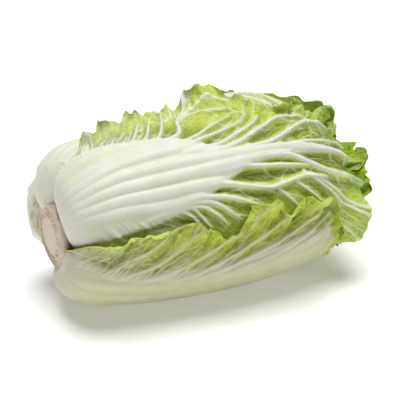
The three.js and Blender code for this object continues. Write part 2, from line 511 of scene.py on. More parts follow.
def raise_rib(sheet, look):
    """The rib's round back, the blade sunk between the cords and the long folds beside them."""
    plan, up = sheet.plan, sheet.up
    whole, gone = plan.swell_fades
    body = sheet.rib_round * plan.swell * smooth(up, -8.0, 14.0) * smooth(up, gone, whole)
    sheet.body = body * blend(1.0, 0.35, sheet.cover)
    parted = 1.0 - np.exp(-((sheet.gap / PARTING) ** 2))
    sag = parted * sheet.in_blade * (0.45 + 0.55 * smooth(sheet.to_margin, 2.0, 16.0))
    sag = sag * blend(0.6, 1.15, sheet.near_fork)
    sheet.sag = sag * blend(plan.sink, 1.0, 0.3 * (1.0 - sheet.near_fork))
    wander = 2.2 * plan.noise(up, sheet.side, (16.0, 1.0, 11))
    folds = np.cos(2.0 * math.pi * sheet.gap / FOLD_SPACING + wander)
    sheet.folds = folds * smooth(sheet.gap, 0.6, 2.2) * smooth(sheet.gap, 11.5, 8.0) * sheet.in_blade
    relief = sheet.ridge - look["hollow"] * sheet.sag
    sheet.height = sheet.body + relief * blend(1.0, 0.45, sheet.cover)


def crinkle_blade(sheet, look):
    """The fine net, the soft crinkles and the pleats that run in from the margin."""
    plan, up, side, margin = sheet.plan, sheet.up, sheet.side, sheet.to_margin
    warp = 2.5 * plan.noise(up, side, (9.0, 1.0, 2))
    walls = cell_walls((up + warp) / NET_STRETCH, side - warp, NET_SIZE, plan.seed + 3)
    sheet.net = np.exp(-((walls / NET_WIDTH) ** 2)) * sheet.in_blade
    fine = FOLD_HEIGHT * sheet.folds + NET_HEIGHT * sheet.net
    sheet.height = sheet.height + fine * (0.3 + 0.7 * sheet.bare)
    crinkle = look["crinkle"] * plan.noise(up, side, (8.0, 1.0, 4), (3.8, 0.6, 5))
    crinkle = crinkle * sheet.in_blade * smooth(sheet.gap, 0.0, 3.0)
    sheet.height = sheet.height + crinkle * (0.4 + 0.6 * sheet.bare)
    slant = up - blend(1.0, 0.5, smooth(up, 60.0, 200.0)) * np.abs(side)
    pleats = plan.noise(slant, margin * 0.15, (6.0, 1.0, 12))
    pleats = pleats + plan.noise(slant, margin * 0.25, (3.0, 0.6, 15))
    sheet.pleats = pleats * np.exp(-((margin / PLEAT_REACH) ** 2)) * sheet.grown * plan.frill


def frill_margin(sheet, look):
    """The waves, pleats and lobes of the margin, its tucked foot and the flared, ruffled tip."""
    plan, up, side, margin = sheet.plan, sheet.up, sheet.side, sheet.to_margin
    edge = np.exp(-((margin / FRILL_REACH) ** 1.5))
    waves = plan.noise(up, side, (15.0, 1.0, 6), (7.0, 0.8, 7), (3.8, 0.4, 22))
    frill = edge * look["frill"] * plan.frill * sheet.grown * sheet.bare
    height = sheet.height + frill * (waves + 0.35)
    height = height + PLEAT_HEIGHT * sheet.pleats * (0.15 + 0.85 * sheet.bare)
    flare = 1.0 + plan.noise(side, up * 0.3, (11.0, 0.5, 13))
    height = height + plan.tip_flare * flare * smooth(sheet.to_tip, 13.0, 2.0) * sheet.bare
    ruffle = plan.noise(side, up * 0.4, (6.5, 1.0, 20)) + plan.noise(side, up * 0.5, (3.2, 0.7, 21))
    ruffle = RUFFLE_HEIGHT * ruffle * smooth(sheet.to_tip, 17.0, 5.0) * sheet.bare
    height = height + ruffle * plan.frill * plan.tip_frill
    height = height - plan.tuck * np.exp(-((margin / TUCK_REACH) ** 1.5)) * smooth(up, 100.0, 45.0)
    for at, offset, rise, size in plan.lobes:
        away = np.hypot(up - at, plan.sideways(up, sheet.offset - offset))
        height = height + rise * np.exp(-((away / size) ** 2.4)) * sheet.bare
    sheet.height = height


def roll_lip(sheet):
    """Rolls the margin outwards, in some places more than in others."""
    plan, up, side = sheet.plan, sheet.up, sheet.side
    sheet.rolls = plan.noise(up, side * 0.6, (17.0, 1.0, 8)) + plan.noise(up, side, (8.0, 0.4, 14))
    strength = np.clip(plan.curl + 1.1 * sheet.rolls, 0.02, 1.0) * sheet.grown * sheet.bare
    turned = np.clip(LIP_WIDTH - sheet.to_margin, 0.0, LIP_WIDTH)
    bend = np.maximum(strength * math.radians(170), 0.02) / LIP_WIDTH
    sheet.back = np.sin(turned * bend) / bend - turned
    sheet.height = blurred(sheet.height + (1.0 - np.cos(turned * bend)) / bend, 1)


def thicken(sheet, look):
    """The leaf's thickness, most of it in the rib and the cords."""
    rib = look["rib"] * smooth(sheet.rib_gap, 3.0, 0.0) * smooth(sheet.up, 345.0, 40.0)
    rib = rib * sheet.rib_round * smooth(sheet.to_margin, 0.0, 8.0)
    sheet.thick = look["blade"] + rib + 0.6 * sheet.ridge + 0.5 * sheet.body


def tint_leaf(sheet):
    """How pale, how lush, how deep in a hollow and how worn the leaf is at each point; the hollows and the
    rib's valleys take painted shade.
    """
    plan, up, side, margin = sheet.plan, sheet.up, sheet.side, sheet.to_margin
    young = np.maximum(smooth(up, 85.0, 30.0), 0.42 * smooth(up, 175.0, 60.0))
    young = young * (0.35 + 0.65 * smooth(margin, 0.5, 4.0))
    veiled = 0.16 * sheet.net * sheet.bare + 0.2 * smooth(sheet.folds, 0.3, 1.0) * sheet.near_fork
    pale = np.clip(np.maximum(np.maximum(sheet.pale, young), veiled), 0.0, 1.0)
    # Painted shade: the valleys between the ridges on the rib are made a little less pale.
    rib_valley_shade = 0.2 * sheet.in_rib * smooth(sheet.ridge, 1.6, 0.0) * smooth(up, 20.0, 60.0)
    pale = pale - rib_valley_shade * (plan.detail > 0)
    sheet.pale = pale * smooth(sheet.to_tip, 8.0, 15.0)

    rim = 0.12 * smooth(margin, 12.0, 0.0) * smooth(sheet.rolls, -0.4, 0.6)
    tip = smooth(up, 235.0, 325.0) * plan.tip_frill * smooth(margin, 40.0, 8.0)
    sheet.lush = np.clip(rim + tip, 0.0, 1.0)

    # Painted shade: the sunken blade beside the cords, most near the fork, and the troughs of the pleats take
    # the olive hollow colour; lit_below takes some of it away on the lower side.
    deep = 1.3 * sheet.sag * blend(0.1, 1.0, sheet.near_fork) * smooth(sheet.ridge, 1.0, 0.0)
    hollow = np.clip(deep + 0.45 * smooth(-sheet.pleats, 0.15, 0.8), 0.0, 1.0)
    lit = plan.lit_below * smooth(sheet.offset, -13.0, -21.0) * smooth(up, 195.0, 160.0)
    sheet.hollow = hollow * (1.0 - lit)

    patch = plan.noise(up, side, (9.0, 1.0, 16), (3.0, 0.5, 17))
    sheet.worn = np.clip(smooth(up + 9.0 * patch, plan.worn, 0.3 * plan.worn), 0.0, 1.0)


def grow_sheet(plan, look):
    """Lays every vein of a leaf and works out its height, its thickness and its tints."""
    sheet = LeafSheet(plan)
    lay_veins(sheet, plan, np.random.default_rng(plan.seed))
    raise_rib(sheet, look)
    crinkle_blade(sheet, look)
    frill_margin(sheet, look)
    roll_lip(sheet)
    thicken(sheet, look)
    tint_leaf(sheet)
    return sheet


# ---------------------------------------------------------------- meshes


FLOOR_GAP = 0.2  # no point of a piece is nearer to the floor than this


def unit(vectors):
    """The same vectors, each with a length of 1."""
    return vectors / np.maximum(np.linalg.norm(vectors, axis=-1, keepdims=True), 1e-9)


def grid_normals(points):
    """Outward normals of a grid of points whose rows go up the leaf and columns go across it."""
    upwards = np.gradient(points, axis=0)
    across = np.gradient(points, axis=1)
    return unit(np.cross(upwards, across))


def sheet_points(sheet):
    """The outer and the inner skin of a leaf, in the head's millimetres."""
    plan = sheet.plan
    base = head_points(along_at(sheet.up), plan.middle + sheet.offset, plan.depth)
    base[..., 1:] *= 1.0 - plan.closing * smooth(sheet.up, 285.0, 353.0)[..., None] ** 1.5
    normal = grid_normals(base)
    upwards = unit(np.gradient(base, axis=0))
    across = unit(np.cross(normal, upwards))
    to_side = across * (sheet.outwards * (1.0 - sheet.tip_share) * sheet.back)[..., None]
    to_tip = upwards * (sheet.tip_share * sheet.back)[..., None]
    outer = base + normal * sheet.height[..., None] + to_side + to_tip
    outer_normal = unit(0.6 * grid_normals(outer) + 0.4 * normal)
    inner = (outer - outer_normal * sheet.thick[..., None])[::2, ::2]
    return outer, inner


def grid_faces(rows, columns, first, flip):
    """Quads between the points of a grid; flip turns them to face the other way."""
    row, column = np.meshgrid(np.arange(rows), np.arange(columns), indexing="ij")
    corner = (first + row * (columns + 1) + column).ravel()
    quads = np.stack((corner, corner + columns + 1, corner + columns + 2, corner + 1), axis=1)
    return quads[:, ::-1] if flip else quads


def rim_faces(rows, columns, inner_first):
    """Triangles that join the fine rim of the outer skin to the coarser one of the inner."""
    outer_index = np.arange((rows + 1) * (columns + 1)).reshape(rows + 1, columns + 1)
    inner_index = inner_first + np.arange((rows // 2 + 1) * (columns // 2 + 1)).reshape(
        rows // 2 + 1, columns // 2 + 1
    )

    def around(index):
        return np.concatenate((index[0, :-1], index[:-1, -1], index[-1, :0:-1], index[:0:-1, 0]))

    fine, coarse = around(outer_index), around(inner_index)
    fine_next = np.roll(fine, -1)
    coarse_next = np.roll(coarse, -1)
    first = np.stack((fine[0::2], fine_next[0::2], coarse), axis=1)
    second = np.stack((coarse, fine_next[0::2], coarse_next), axis=1)
    third = np.stack((fine_next[0::2], fine_next[1::2], coarse_next), axis=1)
    return np.concatenate((first, second, third))


def unfolded_skins(rows, columns):
    """Lays a leaf's outer and inner skin side by side in the unit square, for every point."""
    row, column = np.meshgrid(
        np.linspace(0.0, 1.0, rows + 1), np.linspace(0.0, 1.0, columns + 1), indexing="ij"
    )
    outside = np.stack((0.01 + 0.6 * column, 0.01 + 0.98 * row), axis=-1)
    inside = np.stack((0.64 + 0.35 * column, 0.01 + 0.98 * row), axis=-1)[::2, ::2]
    return np.concatenate((outside.reshape(-1, 2), inside.reshape(-1, 2)))


def mesh_object(name, points, quads, triangles, tints, unfolded=None):
    """Makes a smooth mesh object from points in the head's millimetres."""
    placed = (points + HEAD_PLACE) * MM
    placed[:, 2] = np.maximum(placed[:, 2], FLOOR_GAP * MM)
    mesh = bpy.data.meshes.new(name)
    mesh.vertices.add(len(placed))
    mesh.vertices.foreach_set("co", placed.astype(np.float32).ravel())
    loops = np.concatenate((quads.ravel(), triangles.ravel())).astype(np.int32)
    sizes = np.concatenate((np.full(len(quads), 4), np.full(len(triangles), 3))).astype(np.int32)
    starts = np.concatenate(([0], np.cumsum(sizes)[:-1])).astype(np.int32)
    mesh.loops.add(len(loops))
    mesh.loops.foreach_set("vertex_index", loops)
    mesh.polygons.add(len(sizes))
    mesh.polygons.foreach_set("loop_start", starts)
    mesh.polygons.foreach_set("use_smooth", np.ones(len(sizes), dtype=bool))
    for tint, values in tints.items():
        layer = mesh.attributes.new(tint, "FLOAT", "POINT")
        layer.data.foreach_set("value", values.astype(np.float32).ravel())
    if unfolded is not None:
        layer = mesh.uv_layers.new(name="OFBake")
        layer.uv.foreach_set("vector", unfolded[loops].astype(np.float32).ravel())
    mesh.update(calc_edges=True)
    mesh.validate()
    piece = bpy.data.objects.new(name, mesh)
    bpy.context.scene.collection.objects.link(piece)
    return piece


def leaf_object(plan, look, material):
    """Builds one leaf and puts it in the place of its node."""
    sheet = grow_sheet(plan, look)
    outer, inner = sheet_points(sheet)
    rows, columns = plan.grid
    inner_first = (rows + 1) * (columns + 1)
    points = np.concatenate((outer.reshape(-1, 3), inner.reshape(-1, 3)))
    quads = np.concatenate((
        grid_faces(rows, columns, 0, True),
        grid_faces(rows // 2, columns // 2, inner_first, False),
    ))
    tints = {}
    for tint in ("pale", "lush", "hollow", "worn"):
        values = getattr(sheet, tint)
        tints[tint] = np.concatenate((values.ravel(), values[::2, ::2].ravel()))
    triangles = rim_faces(rows, columns, inner_first)
    flat = unfolded_skins(rows, columns)
    piece = mesh_object(plan.name + "_grown", points, quads, triangles, tints, flat)
    piece.data.materials.append(material)
    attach(piece, "root")
    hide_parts(plan.name)
    return piece


# ---------------------------------------------------------------- materials


class Nodes:
    """Short ways to add and join the nodes of one material."""

    def __init__(self, name):
        self.material = bpy.data.materials.new(name)
        self.material.use_nodes = True
        self.tree = self.material.node_tree
        self.shader = self.tree.nodes["Principled BSDF"]
        self.place = self.add("ShaderNodeTexCoord").outputs["Object"]

    def add(self, kind, **settings):
        node = self.tree.nodes.new(kind)
        for name, value in settings.items():
            setattr(node, name, value)
        return node

    def join(self, source, target):
        self.tree.links.new(source, target)

    def tint(self, name):
        return self.add("ShaderNodeAttribute", attribute_name=name).outputs["Fac"]

    def noise(self, step, detail=3.0, roughness=0.55):
        """Noise whose bumps are about a step (in millimetres) apart."""
        node = self.add("ShaderNodeTexNoise")
        node.inputs["Scale"].default_value = 1.0 / (step * MM)
        node.inputs["Detail"].default_value = detail
        node.inputs["Roughness"].default_value = roughness
        self.join(self.place, node.inputs["Vector"])
        return node.outputs["Fac"]

    def cells(self, step, feature="DISTANCE_TO_EDGE"):
        node = self.add("ShaderNodeTexVoronoi", feature=feature)
        node.inputs["Scale"].default_value = 1.0 / (step * MM)
        self.join(self.place, node.inputs["Vector"])
        return node.outputs["Distance"]

    def spread(self, source, low, high, start=0.0, end=1.0):
        """Maps a value's stretch from low to high onto start to end."""
        node = self.add("ShaderNodeMapRange")
        for socket, value in zip(("From Min", "From Max", "To Min", "To Max"), (low, high, start, end)):
            node.inputs[socket].default_value = value
        self.join(source, node.inputs["Value"])
        return node.outputs["Result"]

    def math(self, operation, first, second):
        node = self.add("ShaderNodeMath", operation=operation)
        for socket, value in zip(node.inputs, (first, second)):
            if isinstance(value, (int, float)):
                socket.default_value = value
            else:
                self.join(value, socket)
        return node.outputs["Value"]

    def mix(self, share, first, second):
        node = self.add("ShaderNodeMix", data_type="RGBA")
        self.join(share, node.inputs["Factor"])
        for socket, value in ((node.inputs["A"], first), (node.inputs["B"], second)):
            if hasattr(value, "is_output"):
                self.join(value, socket)
            else:
                socket.default_value = (*value, 1.0)
        return node.outputs["Result"]

    def bump(self, height, distance, strength, below=None):
        node = self.add("ShaderNodeBump")
        node.inputs["Strength"].default_value = strength
        node.inputs["Distance"].default_value = distance * MM
        self.join(height, node.inputs["Height"])
        if below is not None:
            self.join(below, node.inputs["Normal"])
        return node.outputs["Normal"]


def leaf_material(name, rib, blade, hollow, lush, foot):
    """White rib and veins, a netted light blade, olive hollows as painted shade, green frills and a brown
    foot.
    """
    nodes = Nodes(name)
    mottle = nodes.noise(14.0)
    grain = nodes.noise(2.2, 4.0)
    wrinkles = nodes.noise(3.4, 5.0, 0.7)
    net = nodes.spread(nodes.cells(4.4), 0.0, 0.16, 1.0, 0.0)
    fine_net = nodes.spread(nodes.cells(2.1), 0.0, 0.2, 1.0, 0.0)

    soft_blade = nodes.mix(nodes.spread(mottle, 0.35, 0.7), blade, tuple(0.84 * c for c in blade))
    # Painted shade: the olive hollow colour is laid where the hollow tint says the blade is sunk.
    hollowed = nodes.math("MULTIPLY", nodes.tint("hollow"), nodes.spread(mottle, 0.2, 0.8, 0.8, 1.15))
    colour = nodes.mix(hollowed, soft_blade, hollow)
    lusher = nodes.math("MULTIPLY", nodes.tint("lush"), nodes.spread(wrinkles, 0.3, 0.7, 0.7, 1.1))
    colour = nodes.mix(lusher, colour, lush)
    # Painted shade: the troughs of the fine wrinkles are darkened towards the hollow colour.
    colour = nodes.mix(nodes.spread(wrinkles, 0.38, 0.62, 0.35, 0.0), colour, hollow)
    veins = nodes.math("ADD", nodes.math("MULTIPLY", net, 0.5), nodes.math("MULTIPLY", fine_net, 0.2))
    # The veins are held back where this painted shade lies.
    veins = nodes.math("MULTIPLY", veins, nodes.math("SUBTRACT", 1.0, hollowed))
    colour = nodes.mix(veins, colour, tuple(0.4 * r + 0.6 * b for r, b in zip(rib, blade)))

    warm_rib = tuple(c * k for c, k in zip(rib, (0.94, 0.94, 0.84)))
    soft_rib = nodes.mix(nodes.spread(mottle, 0.35, 0.75), rib, warm_rib)
    paler = nodes.math("MULTIPLY", nodes.tint("pale"), nodes.spread(grain, 0.2, 0.8, 0.92, 1.05))
    colour = nodes.mix(paler, colour, soft_rib)
    worn = nodes.math("MULTIPLY", nodes.tint("worn"), nodes.spread(wrinkles, 0.35, 0.6, 0.15, 0.95))
    colour = nodes.mix(worn, colour, foot)
    nodes.join(colour, nodes.shader.inputs["Base Color"])
    nodes.join(nodes.spread(grain, 0.3, 0.7, 0.38, 0.55), nodes.shader.inputs["Roughness"])

    sunk = nodes.math("SUBTRACT", 1.0, nodes.tint("pale"))
    relief = nodes.math("ADD", wrinkles, nodes.math("MULTIPLY", net, 0.3))
    relief = nodes.math("MULTIPLY", relief, nodes.math("ADD", nodes.math("MULTIPLY", sunk, 0.9), 0.06))
    fine = nodes.bump(grain, 0.3, 0.2)
    nodes.join(nodes.bump(relief, 1.5, 0.75, fine), nodes.shader.inputs["Normal"])
    nodes.shader.inputs["Specular IOR Level"].default_value = 0.22
    nodes.shader.inputs["Subsurface Weight"].default_value = 0.2
    nodes.shader.inputs["Subsurface Radius"].default_value = (1.0, 1.0, 0.6)
    nodes.shader.inputs["Subsurface Scale"].default_value = 1.6 * MM
    return nodes.material


def stem_material(name, face, scar, bundle):
    """A pale cut face with fibre bundles, and tan dried leaf scars round it."""
    nodes = Nodes(name)
    mottle = nodes.noise(5.0)
    grain = nodes.noise(1.2, 5.0, 0.65)
    spots = nodes.spread(nodes.cells(2.6, "F1"), 0.16, 0.32, 1.0, 0.0)
    dotted = nodes.math("MULTIPLY", spots, nodes.tint("bundles"))
    soft_face = nodes.mix(nodes.spread(mottle, 0.3, 0.7), face, tuple(0.88 * c for c in face))
    scarred = nodes.math("MULTIPLY", nodes.tint("scar"), nodes.spread(grain, 0.25, 0.7, 0.45, 1.25))
    colour = nodes.mix(scarred, soft_face, scar)
    colour = nodes.mix(dotted, colour, bundle)
    nodes.join(colour, nodes.shader.inputs["Base Color"])
    nodes.join(nodes.spread(grain, 0.3, 0.7, 0.6, 0.82), nodes.shader.inputs["Roughness"])
    nodes.join(nodes.bump(grain, 0.6, 0.6), nodes.shader.inputs["Normal"])
    nodes.shader.inputs["Subsurface Weight"].default_value = 0.15
    nodes.shader.inputs["Subsurface Radius"].default_value = (1.0, 0.8, 0.5)
    nodes.shader.inputs["Subsurface Scale"].default_value = 2.0 * MM
    return nodes.material


# ---------------------------------------------------------------- this head's own leaves

# How finely each kind of leaf is divided, up its length and across it.
WRAPPER_GRID = (372, 208)
OUTER_HEAD_GRID = (220, 130)
HEAD_GRID = (120, 70)
HEART_GRID = (60, 36)

WRAPPER_REACH = [(0, 42), (60, 44), (120, 60), (200, 66), (353, 60)]

# A comb is its side, from where to where, the spacing, the first and the last slant and the length.
FAR_COMBS = [
    (-1, 45, 160, 9.0, 62, 44, 44.0), (-1, 160, 330, 5.0, 44, 34, 46.0), (1, 45, 285, 9.0, 62, 26, 44.0),
]

FRONT_LEAF = dict(
    length=295.0,
    tip_length=24.0,
    above=[(0, 44), (45, 54), (77, 57), (102, 60), (124, 61), (147, 57), (165, 50), (176, 47), (185, 57),
           (200, 65), (213, 65), (229, 57), (245, 64), (262, 63), (280, 58), (295, 50)],
    below=[(0, 42), (60, 44), (120, 60), (200, 66), (295, 60)],
    rib=[(0, 0, 40), (42, 0, 40), (67, 2, 34), (104, 0, 27), (165, 0, 27), (220, 2, 30), (250, 5, 32),
         (275, 8, 26), (303, 8, 20)],
    combs=[
        (1, 40, 150, 5.5, 48, 34, 40.0), (1, 150, 250, 9.0, 33, 24, 50.0), (-1, 60, 250, 10.0, 52, 30, 44.0),
    ],
    cords=[
        ([(6, 27), (60, 23), (120, 17), (190, 18), (250, 20), (300, 22)], 4.6, 1.3),
        ([(6, 12), (60, 8), (120, 4), (200, 5), (300, 8)], 5.6, 1.4),
        ([(6, -10), (60, -12), (120, -10), (200, -10), (300, -8)], 5.6, 1.2),
        ([(40, 30), (62, 33), (79, 38), (104, 46), (120, 53), (131, 60)], 1.2, 0.6),
        ([(60, 27), (82, 29), (104, 33), (126, 42), (142, 50), (156, 58)], 1.5, 0.8),
        ([(80, 22), (104, 25), (131, 30), (156, 39), (178, 46), (198, 54), (210, 64)], 2.1, 1.3),
        ([(110, 19), (140, 23), (167, 30), (193, 39), (213, 46), (236, 56)], 2.3, 1.5),
        ([(130, 17), (160, 22), (193, 30), (223, 37), (243, 44), (262, 52), (258, 60)], 2.5, 1.8),
        ([(160, 16), (190, 21), (225, 29), (252, 37), (275, 48)], 2.3, 1.7),
        ([(185, 16), (215, 21), (250, 30), (285, 44)], 2.2, 1.6),
        ([(205, 18), (235, 24), (268, 33), (292, 46)], 2.1, 1.4),
        ([(60, -26), (90, -30), (115, -38), (140, -50), (155, -60)], 2.4, 1.2),
        ([(100, -24), (135, -29), (165, -38), (195, -50), (210, -60)], 2.6, 1.2),
        ([(140, -22), (180, -27), (215, -36), (245, -50), (260, -60)], 2.6, 1.2),
        ([(180, -18), (220, -22), (255, -32), (285, -46)], 2.4, 1.2),
    ],
    lobes=[(213, 66, 9, 11), (256, 62, 6, 14), (186, 58, 3, 8), (136, 62, 2, 9)],
    frill=1.0,
    curl=0.3,
    swell=1.2,
    tip_flare=-2.0,
    tip_frill=0.3,
    is_low=True,
)

FACING_LEAF = dict(
    length=346.0,
    tip_length=26.0,
    above=[(0, 46), (25, 52), (50, 59), (67, 66), (80, 62), (100, 73), (118, 76), (150, 77), (170, 78),
           (193, 78), (206, 80), (215, 62), (235, 52), (262, 52), (300, 54), (346, 50)],
    below=[(0, 36), (40, 40), (67, 39), (100, 42), (130, 51), (170, 60), (250, 66), (300, 80),
           (325, 80), (346, 56)],
    rib=[(0, 8, 42), (45, 9, 39), (83, 8, 35), (103, 6.5, 31.5), (125, 8, 28), (148, 8.2, 23.5), (165, 8, 17),
         (180, 8, 11), (195, 9, 7), (211, 10, 4.5), (246, 12, 3), (300, 11, 2), (346, 8, 2)],
    combs=[(1, 44, 124, 3.4, 68, 64, 36.0), (-1, 98, 130, 6.0, 40, 46, 26.0)],
    cords=[
        ([(168, 60), (180, 65), (198, 67), (214, 60)], 1.6, 1.4),
        ([(160, 54), (176, 58), (192, 57), (208, 51)], 1.4, 1.2),
        ([(172, 65), (178, 72), (190, 80)], 1.1, 1.0),
        ([(150, 57), (160, 66), (164, 78)], 1.3, 1.1),
        ([(255, -6), (280, -22), (300, -38), (322, -60)], 1.7, 1.3),
        ([(262, -8), (290, -24), (314, -44), (334, -58)], 1.6, 1.2),
        ([(245, -12), (268, -28), (288, -48), (305, -70)], 1.5, 1.2),
        ([(225, -14), (245, -30), (262, -50), (275, -66)], 1.4, 1.0),
        ([(6, 38), (70, 36.5), (118, 34), (128, 34.5), (134, 37), (140, 45), (146, 57), (152, 70)], 2.5, 2.0),
        ([(120, 29), (140, 32), (152, 36.5), (157, 50), (166, 61), (178, 70), (190, 76)], 2.9, 2.3),
        ([(6, 29), (110, 27), (150, 28), (165, 31), (178, 36), (192, 41), (206, 45)], 3.2, 2.4),
        ([(6, 19), (110, 21), (150, 24), (171, 28), (186, 31), (204, 35.5), (217, 41)], 3.4, 2.8),
        ([(140, 19), (180, 21), (201, 27.5), (221, 35), (230, 41)], 3.0, 2.4),
        ([(150, 16), (188, 18), (207, 23), (223, 29), (234, 33.5), (245, 38.5), (258, 41), (272, 41),
          (290, 38)], 3.0, 2.6),
        ([(190, 15), (230, 18.5), (258, 29), (277, 37), (290, 39), (304, 35.5)], 3.0, 2.6),
        ([(225, 14), (250, 16), (277, 18), (308, 21), (322, 20)], 2.2, 2.0),
        ([(6, 10), (110, 11), (190, 12.5), (232, 14.5), (254, 14.5), (280, 12), (305, 9),
          (322, 4)], 4.4, 3.2),
        ([(6, 1), (110, 2.5), (180, 6), (215, 8), (243, 7), (262, 0), (282, -7.5), (300, -12),
          (318, -15), (330, -26)], 4.4, 3.4),
        ([(130, 3), (165, 4), (185, 4), (212, 2), (240, 0), (262, -2)], 3.0, 2.5),
        ([(6, -8), (110, -6), (150, -5), (175, -6), (193, -9), (217, -13), (233, -11.5), (254, -9),
          (278, -12)], 3.8, 3.0),
        ([(6, -17), (110, -14), (150, -12), (170, -13.5), (183, -16), (196, -20), (215, -28)], 3.0, 2.4),
        ([(110, -17), (135, -14.5), (150, -14.5), (160, -15.5), (171, -20), (186, -30)], 2.4, 1.9),
        ([(112, -19), (130, -16.5), (145, -17), (154, -18.5), (166, -25), (174, -32)], 1.9, 1.5),
        ([(104, -21), (120, -18), (136, -17), (144, -18), (151, -25), (158, -32)], 1.7, 1.3),
        ([(98, -23), (112, -20), (128, -18.5), (137, -20), (146, -27), (152, -34)], 1.5, 1.1),
        ([(80, 38), (104, 36.5), (112, 40), (121, 54), (128, 66)], 1.5, 1.2),
        ([(85, 37), (114, 35), (123, 39), (132, 54), (140, 68)], 1.6, 1.3),
    ],
    lobes=[(199, 79, 15, 19), (168, 78, 5, 15), (145, 78, 7, 15), (122, 77, 6, 13), (98, 74, 5, 12),
           (216, 48, 7, 9), (318, -54, 20, 14), (303, -66, 18, 12), (332, -30, 8, 12), (300, 52, 4, 12)],
    frill=1.1,
    curl=0.3,
    sink=1.05,
    swell=2.2,
    tuck=3.0,
    lit_below=0.7,
    tip_flare=9.0,
)

BACK_LEAF = dict(
    depth=0.6,
    below=[(0, 30), (60, 34), (110, 46), (190, 50), (268, 50), (284, 58), (297, 84), (330, 84), (353, 60)],
    above=WRAPPER_REACH,
    combs=FAR_COMBS,
    tip_flare=4.0,
    frill=0.9,
    curl=-0.1,
    swell=1.5,
    tuck=6.0,
    worn=26.0,
    lobes=[(300, -80, 11, 8), (313, -74, 13, 8), (327, -62, 12, 8), (340, -44, 8, 8)],
)

UNDER_LEAF = dict(
    below=WRAPPER_REACH,
    above=WRAPPER_REACH,
    tip_flare=6.0,
    tuck=4.0,
    worn=28.0,
    is_low=True,
)

UPPER_LEAF = dict(
    below=WRAPPER_REACH,
    above=WRAPPER_REACH,
    tip_flare=6.0,
    combs=FAR_COMBS,
    lobes=[(225, -16, 10, 52)],
    swell=13.0,
    swell_fades=(48.0, 108.0),
)

WRAPPER_LEAVES = [FRONT_LEAF, BACK_LEAF, FACING_LEAF, UNDER_LEAF, UPPER_LEAF]

# How much deeper than their place in the spiral the covered leaves and the head leaves lie, to
# leave room for the relief of the leaves over them, and how deep a leaf lies at most.
COVERED_ROOM, HEAD_ROOM = 1.5, 2.5
DEEPEST = 76.5
NETTED_HEAD_LEAVES = 4  # the head leaves that show between the wrappers, with all their veins


def wrapper_plans():
    """The five wrapper leaves, each of which knows the ones that lie over it."""
    plans = []
    for index, own in enumerate(WRAPPER_LEAVES):
        name = f"wrapper_leaf_{index + 1:02d}"
        depth = index * LEAF_PITCH + (COVERED_ROOM if index > 2 else 0.0)
        plan = LeafPlan(index, name, WRAPPER_GRID, **{"depth": depth, **own})
        plan.outer = list(plans)
        plans.append(plan)
    return plans


def head_plans():
    """The nested leaves under the wrappers."""
    for index in range(WRAPPERS, HEAD_LEAVES_END):
        number = index - WRAPPERS + 1
        shows = number <= NETTED_HEAD_LEAVES
        plan = LeafPlan(
            index, f"head_leaf_{number:02d}", OUTER_HEAD_GRID if shows else HEAD_GRID,
            depth=index * LEAF_PITCH + HEAD_ROOM, detail=1.0 if shows else 0.5,
            frill=0.9, tip_flare=3.0, swell=1.0, closing=0.6,
        )
        plan.outer = wrapper_plans()
        yield plan


def heart_plans():
    """The small leaves of the heart, which are plain and smooth."""
    for index in range(HEAD_LEAVES_END, LEAF_COUNT):
        number = index - HEAD_LEAVES_END + 1
        yield LeafPlan(
            index, f"heart_leaf_{number:02d}", HEART_GRID,
            depth=min(index * LEAF_PITCH + COVERED_ROOM, DEEPEST),
            frill=0.5, tip_flare=1.0, detail=0.0, swell=0.5, closing=0.7,
        )


# ---------------------------------------------------------------- the cut stem

FACE_RADIUS, SCAR_RADIUS, TIP_RADIUS = 18.0, 28.0, 1.0
FACE_AT, SCAR_AT, STEM_END = 1.6, 3.4, 95.0  # where along the head's axis each of them is
SCAR_STEP = 0.2  # how far behind the cut face the scars start
TIP_POINT = 1.5  # how far the point of the stem stands out past its last ring
STEM_SIDES = 180
FACE_RINGS, SCAR_RINGS, CONE_RINGS = 26, 33, 15
TERRACE_WIDTH, TERRACE_HEIGHT = 3.1, 1.3


def stem_outline():
    """Distance along the axis and distance from it, ring by ring: cut face, scars and cone."""
    face = np.linspace(0.02, 1.0, FACE_RINGS) * FACE_RADIUS
    scars = np.linspace(FACE_RADIUS, SCAR_RADIUS, SCAR_RINGS + 1)[1:]
    cone = np.linspace(1.0, 0.0, CONE_RINGS + 1)[1:]
    radius = np.concatenate((face, scars, cone * (SCAR_RADIUS - TIP_RADIUS) + TIP_RADIUS))
    x = np.concatenate((
        np.full(FACE_RINGS, FACE_AT),
        FACE_AT + SCAR_STEP + (SCAR_AT - FACE_AT) * np.linspace(0.0, 1.0, SCAR_RINGS) ** 2,
        SCAR_AT + 1.0 + (1.0 - cone) * (STEM_END - SCAR_AT),
    ))
    return x[:, None], radius[:, None]


def tube_faces(rings, sides):
    """Quads between rings of points and triangles to the two points that close the ends."""
    ring, side = np.meshgrid(np.arange(rings - 1), np.arange(sides), indexing="ij")
    after = (side + 1) % sides
    quads = np.stack((
        ring * sides + side, ring * sides + after, (ring + 1) * sides + after, (ring + 1) * sides + side,
    ), axis=-1).reshape(-1, 4)
    side = np.arange(sides)
    after = (side + 1) % sides
    first, last = rings * sides, (rings - 1) * sides
    triangles = np.concatenate((
        np.stack((np.full(sides, first), after, side), axis=1),
        np.stack((np.full(sides, first + 1), last + side, last + after), axis=1),
    ))
    return quads, triangles


